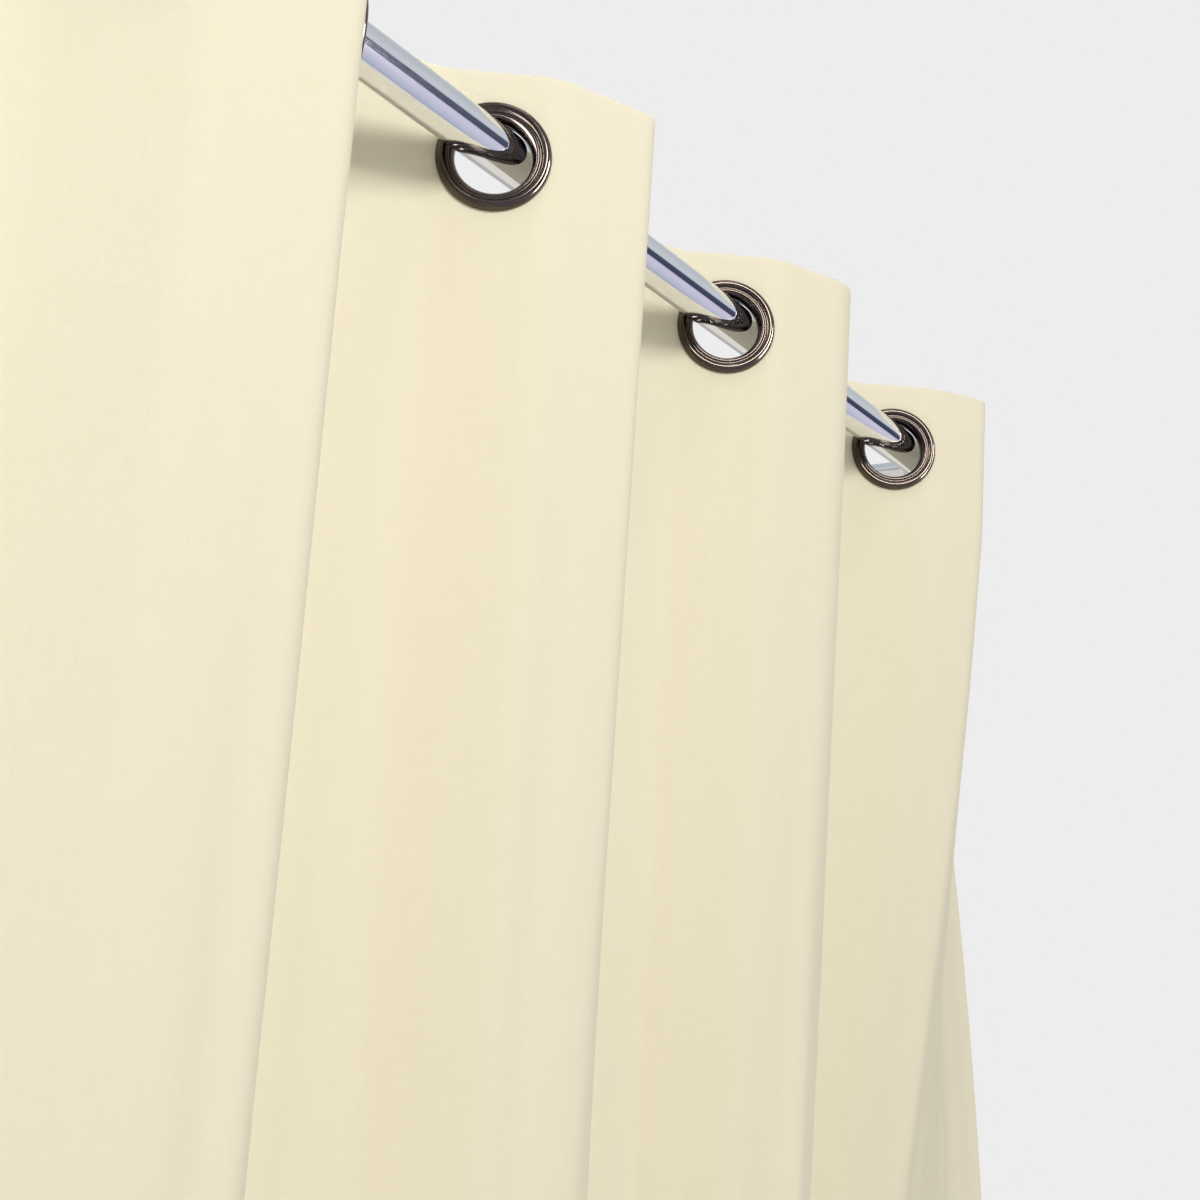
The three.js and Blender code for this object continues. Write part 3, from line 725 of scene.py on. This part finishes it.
def cradleShape(x):
    # An open U carried along the rod: half circles joined to straight horns, with the horns'
    # tips rounded, drawn at both faces and pulled in by a bevel at each.
    inner, outer = rodRadius + 0.3, rodRadius + 0.3 + bracket["cradleWall"]
    rise, wall = bracket["cradleRise"], bracket["cradleWall"]
    low = np.linspace(math.pi, 2 * math.pi, 49)
    tip = np.linspace(0, math.pi, 9)[1:-1]
    middle, reach = (inner + outer) / 2, wall / 2
    def loop(pull):
        bottomOuter = np.stack([np.cos(low), np.sin(low)], -1) * (outer - pull)
        bottomInner = np.stack([np.cos(low), np.sin(low)], -1)[::-1] * (inner + pull)
        roundTip = np.stack([np.cos(tip), np.sin(tip)], -1) * (reach - pull)
        rightTip, leftTip = roundTip + [middle, rise - reach], roundTip + [-middle, rise - reach]
        horns = [[outer - pull, rise - reach]], [[inner + pull, rise - reach]]
        mirror = [[-inner - pull, rise - reach]], [[-outer + pull, rise - reach]]
        return np.concatenate([bottomOuter, horns[0], rightTip, horns[1],
                               bottomInner, mirror[0], leftTip, mirror[1]])
    half = bracket["cradleWidth"] / 2
    stations = [(-half, 0.6), (-half + 0.18, 0.25), (-half + 0.6, 0.0),
                (half - 0.6, 0.0), (half - 0.18, 0.25), (half, 0.6)]
    rings = [np.concatenate([np.full((len(loop(0)), 1), x + at), loop(pull) + [-rodDepth, 0]], 1)
             for at, pull in stations]
    count = len(rings[0])
    index = np.arange(len(rings) * count).reshape(-1, count)
    index = np.concatenate([index, index[:, :1]], 1)
    # flat faces: outer and inner bottom arcs are joined one to one, the horns likewise
    a = np.arange(49)
    b = 49 + 1 + len(tip) + 1 + (48 - a)
    ends = []
    for first, flip in ((0, False), ((len(rings) - 1) * count, True)):
        strip = np.stack([a[:-1], b[:-1], b[1:], a[1:]], 1) + first
        ends.append(strip[:, ::-1] if flip else strip)
    hornRight = np.concatenate([[48], 49 + np.arange(len(tip) + 2), [b[48]]])
    hornLeft = np.concatenate([[b[0]], b[0] + 1 + np.arange(len(tip) + 2), [0]])
    caps = np.stack([hornRight, hornLeft])
    lastRing = (len(rings) - 1) * count
    return np.concatenate(rings), [gridFaces(index)[0], *ends, caps[:, ::-1], caps + lastRing]


def threaded(pitch, depth, start, end):
    # A screw thread: the radius falls by depth in a wave that climbs one pitch a turn.
    def ripple(angle, height, radius):
        wave = 0.5 - 0.5 * np.cos(2 * math.pi * height / pitch - angle)
        inside = smoothStep((height - start) / 2) * smoothStep((end - height) / 1)
        return -depth * wave ** 0.6 * inside * (radius > 0.6)
    return ripple


def knurled(count, depth, start, end):
    def ripple(angle, height, radius):
        inside = smoothStep((height - start) / 0.6) * smoothStep((end - height) / 0.6)
        return -depth * np.abs(np.sin(angle * count / 2)) * inside * (radius > 3)
    return ripple


def makeBracket(side, x):
    edge = bracket["discThickness"]
    disc = turnedPiece(f"wallDisc_{side}", roundedOutline([
        [0, 0, 0], [bracket["discRadius"] - 0.1, 0, 0.3], [bracket["discRadius"], edge, 0.8],
        [0, edge, 0]], 4),
        [x, 0, 0], toRoom, makers["zinc"], 128)
    for level, z in (("upper", bracket["screwPitch"] / 2), ("lower", -bracket["screwPitch"] / 2)):
        hole = turnedPiece("hole", [[0, -2], [2.3, -2], [2.3, edge + 2], [0, edge + 2]],
                           [x, 0, z], toRoom, makers["zinc"], 32)
        combine(disc, hole, "DIFFERENCE")
        base = edge + 0.3
        tip, neck = base - bracket["screwLength"], base - 4
        shank = np.linspace(tip + 4, neck, 110)
        outline = np.concatenate([
            [[0, tip], [0.9, tip + 1.8]], np.stack([np.full(110, 2.0), shank], -1), [[2.0, base]],
            roundedOutline([[2.2, base, 0], [4.0, base, 0.15], [3.9, base + 0.8, 0.4],
                            [2.6, base + 2.2, 0.7], [0, base + 2.2, 0]], 4)])
        screw = turnedPiece(f"wallScrew_{side}_{level}", outline, [x, 0, z], toRoom, makers["zinc"], 32,
                            threaded(1.8, 0.5, tip + 1, neck))
        for wide, tall in ((0.9, 3.6), (3.6, 0.9)):
            slot = boxPiece("slot", [x, -base - 2.2, z], [wide, 2.4, tall])
            combine(screw, slot, "DIFFERENCE")
        settle(screw, "wall_brackets", "zinc_steel", f"wall_screw_{side}_{level}")
    settle(disc, "wall_brackets", "zinc_steel", f"wall_disc_{side}")

    # arm, cradle and boss: one casting, flared where the arm meets the cradle
    points, faces = cradleShape(x)
    arm = makePiece(f"bracketArm_{side}", points, faces, makers["castChrome"], sharp=50)
    inner = rodRadius + 0.3
    outer = inner + bracket["cradleWall"]
    stem = turnedPiece("stem", roundedOutline([
        [0, edge + 0.3, 0], [bracket["armRadius"] - 0.05, edge + 0.3, 0.4], [6.0, rodDepth - outer - 9, 4],
        [6.9, rodDepth - outer - 0.5, 0.3], [6.9, rodDepth - inner - 1.4, 0],
        [0, rodDepth - inner - 1.4, 0]], 8),
        [x, 0, 0], toRoom, makers["castChrome"], 64)
    combine(arm, stem, "UNION")
    bossEnd = rodDepth + outer + bracket["bossLength"]
    boss = turnedPiece("boss", roundedOutline([
        [0, rodDepth + inner + 1.4, 0], [bracket["bossRadius"], rodDepth + inner + 1.4, 0],
        [bracket["bossRadius"], bossEnd, 0.6], [0, bossEnd, 0]], 5),
        [x, 0, 0], toRoom, makers["castChrome"], 48)
    combine(arm, boss, "UNION")
    hole = turnedPiece("hole", [[0, rodDepth], [2.3, rodDepth], [2.3, bossEnd + 2], [0, bossEnd + 2]],
                       [x, 0, 0], toRoom, makers["castChrome"], 32)
    combine(arm, hole, "DIFFERENCE")
    arm.data.set_sharp_from_angle(angle=math.radians(38))
    settle(arm, "wall_brackets", "chrome", f"bracket_arm_{side}")

    base = bossEnd + 0.3
    knob = np.linspace(base + 1.2, base + bracket["knobLength"] - 1.2, 12)
    outline = np.concatenate([
        roundedOutline([[0, rodDepth + rodRadius + 0.3, 0], [2.0, rodDepth + rodRadius + 0.4, 0.2],
                        [2.0, base, 0], [4.9, base, 0.2], [5.4, base + 0.6, 0.3],
                        [5.4, base + 1.05, 0]], 3),
        np.stack([np.full(12, 5.4), knob], -1),
        roundedOutline([[5.4, base + 6.0, 0], [5.3, base + 6.4, 0.3], [4.4, base + 6.9, 0.6],
                        [0, base + 7.0, 0]], 4)])
    lock = turnedPiece(f"lockScrew_{side}", outline, [x, 0, 0], toRoom, makers["castChrome"], 144,
                       knurled(36, 0.32, base + 0.9, base + 6.1), sharp=60)
    settle(lock, f"lock_{side}", "chrome", f"lock_screw_{side}")

    outerR, deep, wall = bracket["rosetteRadius"], bracket["rosetteDepth"], bracket["rosetteWall"]
    neckR, top = bracket["collarRadius"], bracket["rosetteDepth"] + bracket["collarLength"]
    sleeve = bracket["armRadius"] + 0.3
    cup = roundedOutline([
        [outerR - wall, 0.3, 0], [outerR, 0.3, 0.3], [outerR, deep - 5, 3.2], [outerR - 5, deep, 2.6],
        [neckR + 2.2, deep, 1.2], [neckR, deep + 1.6, 0.8], [neckR, top, 0.7], [sleeve, top, 0.3],
        [sleeve, deep - wall, 0], [outerR - 5.6, deep - wall, 2.2], [outerR - wall, deep - 5.6, 2.2],
        [outerR - wall, 0.3, 0]], 6)
    cover = turnedPiece(f"roseCover_{side}", cup, [x, 0, 0], toRoom, makers["castChrome"], 128)
    grubAt = deep + bracket["collarLength"] / 2
    hole = turnedPiece("hole", [[0, 4], [1.75, 4], [1.75, 12], [0, 12]], [x, -grubAt, 0], [0, 0, -1],
                       makers["castChrome"], 24)
    combine(cover, hole, "DIFFERENCE")
    settle(cover, f"cover_{side}", "chrome", f"rosette_{side}")
    grub = turnedPiece(f"grubScrew_{side}", roundedOutline([
        [0, 6.3, 0], [1.4, 6.3, 0.15], [1.5, 10.4, 0.2], [0.85, 10.5, 0.1], [0.8, 9.2, 0], [0, 9.1, 0]], 3),
        [x, -grubAt, 0], [0, 0, -1], makers["zinc"], 24)
    settle(grub, f"cover_{side}", "zinc_steel", f"grub_screw_{side}")


def boxPiece(name, centre, size):
    corners = np.array([[i, j, m] for i in (-1, 1) for j in (-1, 1) for m in (-1, 1)], float)
    faces = [[0, 1, 3, 2], [4, 6, 7, 5], [0, 4, 5, 1], [2, 3, 7, 6], [0, 2, 6, 4], [1, 5, 7, 3]]
    return makePiece(name, corners * np.array(size) / 2 + centre, [faces], makers["zinc"])


makeBracket("right", 0.0)
makeBracket("left", -bracket["span"])
print("brackets made")


studio = {"floorGap": 0.03, "floorSize": 14.0, "backdrop": "ededed", "ambient": 0.56, "mirrored": 1.0}

floorMaterial, tree, floorShader = newMaterial("pale matt studio paper", "BsdfPrincipled", {
    "Roughness": 0.9, "Specular IOR Level": 0.1})
place = addNode(tree, "TexCoord")
cloud = addNode(tree, "TexNoise", values={"Scale": 0.8, "Detail": 4.0}, links={"Vector": (place, "Object")})
tone = addNode(tree, "Mix", {"data_type": "RGBA"}, {6: linearColour("e6e5e2"), 7: linearColour("ecebe8")},
               {0: (cloud, 0)})
tree.links.new(tone.outputs[2], floorShader.inputs["Base Color"])
across = np.linspace(-0.5, 0.5, 9) * studio["floorSize"] * 1000
gridX, gridY = np.meshgrid(across - 600, across)
floorZ = np.full_like(gridX, bottomZ - studio["floorGap"] * 1000)
floorPoints = np.stack([gridX, gridY, floorZ], -1).reshape(-1, 3)
floor = makePiece("floor", floorPoints, [gridFaces(np.arange(81).reshape(9, 9))[0]], floorMaterial)
floor.visible_glossy = False  # polished metal mirrors the room below instead

# The room as polished metal sees it, by angle round the rod: wall, ceiling, a dark gap over a
# bright window, and the floor. Everything else is lit by a plain pale surround.
world = bpy.data.worlds.new("studio")
bpy.context.scene.world = world
world.use_nodes = True
tree = world.node_tree
tree.nodes.clear()
aim = addNode(tree, "TexCoord")
split = addNode(tree, "SeparateXYZ", links={0: (aim, "Generated")})
angle = addNode(tree, "Math", {"operation": "ARCTAN2"}, links={0: (split, "Z"), 1: (split, "Y")})
share = addNode(tree, "Math", {"operation": "DIVIDE"}, {1: 2 * math.pi}, {0: (angle, 0)})
around = addNode(tree, "Math", {"operation": "FRACT"}, links={0: (share, 0)})
ramp = addNode(tree, "ValToRGB", links={0: (around, 0)})
surround = [
    (0, "b8b8ba"), (39, "e6e7ea"), (60, "cdd0d4"), (100, "c6cace"), (140, "d6d9dd"), (154, "d0d4da"),
    (158, "4a5068"), (186, "3c4258"), (190, "d6d0e4"), (205, "dcd7ea"), (236, "c6cadb"),
    (246, "aeb4c8"), (253, "eee8de"), (325, "efe9de"),
    (345, "b9b6b0"),
]
stops = ramp.color_ramp.elements
while len(stops) < len(surround):
    stops.new(0.5)
for stop, (degrees, colour) in zip(stops, surround):
    stop.position = degrees / 360
for stop, (degrees, colour) in zip(stops, surround):
    stop.color = linearColour(colour)
path = addNode(tree, "LightPath")
plain = addNode(tree, "Background", values={0: linearColour(studio["backdrop"]), 1: 1.0})
soft = addNode(tree, "Background", values={0: linearColour("fbf9f6"), 1: studio["ambient"]})
mirror = addNode(tree, "Background", values={1: studio["mirrored"]}, links={0: (ramp, 0)})
seen = addNode(tree, "MixShader", links={0: (path, "Is Camera Ray"), 1: (soft, 0), 2: (plain, 0)})
both = addNode(tree, "MixShader", links={0: (path, "Is Glossy Ray"), 1: (seen, 0), 2: (mirror, 0)})
addNode(tree, "OutputWorld", links={0: (both, 0)})


def placed(turn, spot):
    return Matrix([[*row, place] for row, place in zip(turn, spot)] + [[0, 0, 0, 1]])


lights = {
    "window": {"at": (0.6, -2.1, 0.0), "aim": (-0.31, -0.1, 0.0), "size": (0.54, 1.9), "watts": 125,
               "colour": "ffffff"},
    "key": {"at": (-2.0, -1.9, 0.95), "aim": (-0.45, -0.1, -0.3), "size": (0.8, 0.7), "watts": 40,
            "colour": "fffcf3"},
    "top": {"at": (-0.7, -0.55, 1.5), "aim": (-0.4, -0.1, 0.0), "size": (0.5, 0.35), "watts": 2.5,
            "colour": "ffffff"},
}
for name, setting in lights.items():
    lamp = bpy.data.lights.new(name, "AREA")
    lamp.shape = "RECTANGLE"
    lamp.size, lamp.size_y = setting["size"]
    lamp.energy = setting["watts"]
    lamp.color = linearColour(setting["colour"])[:3]
    holder = bpy.data.objects.new(name, lamp)
    bpy.context.scene.collection.objects.link(holder)
    at, aimAt = np.array(setting["at"]), np.array(setting["aim"])
    ahead = (aimAt - at) / np.linalg.norm(aimAt - at)
    sideways = np.cross(ahead, [0, 0, 1])
    sideways /= np.linalg.norm(sideways)
    upward = np.cross(sideways, ahead)
    holder.matrix_world = placed(np.stack([sideways, upward, -ahead], 1), at)
    holder.visible_camera = False
    holder.visible_diffuse = name != "window"  # the window is only there for polished metal to mirror

# Below the rod and to the left, close to the cloth, looking up along it.
view = {
    "at": (-1.3425, -0.6841, -0.4758), "lens": 62.04,
    "right": (0.52418, -0.84904, 0.06603), "up": (-0.23883, -0.07214, 0.96838),
    "ahead": (0.81743, 0.52338, 0.24059),
}
lens = bpy.data.cameras.new("camera")
lens.lens, lens.sensor_width, lens.clip_start, lens.clip_end = view["lens"], 36.0, 0.01, 60.0
camera = bpy.data.objects.new("camera", lens)
bpy.context.scene.collection.objects.link(camera)
turnTo = np.stack([view["right"], view["up"], -np.array(view["ahead"])], 1)
camera.matrix_world = placed(turnTo, view["at"])
bpy.context.scene.camera = camera
bpy.context.scene.view_settings.view_transform = "Standard"
print("studio ready")
